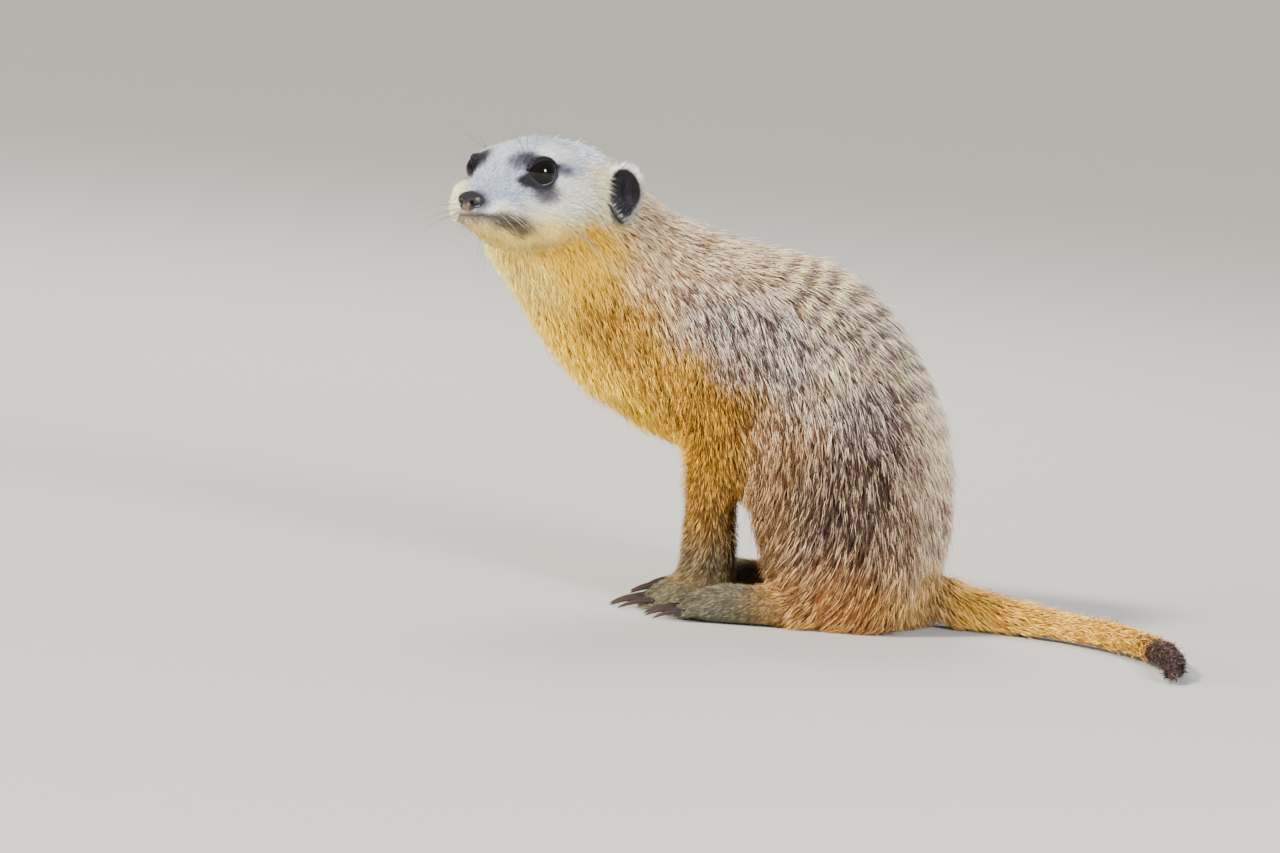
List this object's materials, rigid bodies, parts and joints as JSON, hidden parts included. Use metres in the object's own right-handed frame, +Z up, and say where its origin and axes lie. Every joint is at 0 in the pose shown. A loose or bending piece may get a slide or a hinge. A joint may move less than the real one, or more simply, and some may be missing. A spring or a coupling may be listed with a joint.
{
  "type": "meerkat",
  "caption": "Life-size still model of a meerkat sitting on its haunches with all feet on the ground, head turned to its left, tail laid out behind.",
  "frame": {"origin": "under the middle of the whole model's bounding box, at the level of the ground it sits on", "axes": "+Z up; the trunk faces -X; the animal's left side faces -Y; the tail trails toward +X and then toward -Y"},
  "size_m": [0.2766, 0.153, 0.1723],
  "materials": {
    "back": "grizzled grey-brown fur of the back, dark brown and cream hairs mixed",
    "yellow": "yellow to cream fur of the throat and chest",
    "ochre": "ochre and golden fur of the forelegs and tail",
    "rust": "rusty brown fur of the haunches",
    "grey": "short pale grey fur of the head with near-black eye patches",
    "paw": "very short beige-grey fur of the feet",
    "ear": "black furred ear",
    "nose": "dark, moist, finely pebbled nose skin",
    "eye": "glossy near-black eye with a dark brown iris",
    "claw": "dark brown horn with paler ends",
    "tail_end": "blackish brown fur of the tail end"
  },
  "bodies": {
    "root": {"abdomen": "back", "neck": "yellow", "chest": "yellow", "forearm_left": "ochre", "forearm_right": "ochre", "upper_arm_left": "ochre", "upper_arm_right": "ochre", "tail_base": "ochre", "tail_middle": "ochre", "thigh_left": "rust", "thigh_right": "rust", "head": "grey", "lower_jaw": "grey", "forefoot_left": "paw", "forefoot_right": "paw", "hind_foot_left": "paw", "hind_foot_right": "paw", "ear_left": "ear", "ear_right": "ear", "nose": "nose", "eye_left": "eye", "eye_right": "eye", "claw_fore_left_1": "claw", "claw_fore_left_2": "claw", "claw_fore_left_3": "claw", "claw_fore_left_4": "claw", "claw_fore_right_1": "claw", "claw_fore_right_2": "claw", "claw_fore_right_3": "claw", "claw_fore_right_4": "claw", "claw_hind_left_1": "claw", "claw_hind_left_2": "claw", "claw_hind_left_3": "claw", "claw_hind_left_4": "claw", "claw_hind_right_1": "claw", "claw_hind_right_2": "claw", "claw_hind_right_3": "claw", "claw_hind_right_4": "claw", "tail_tip": "tail_end"}
  },
  "joints": []
}
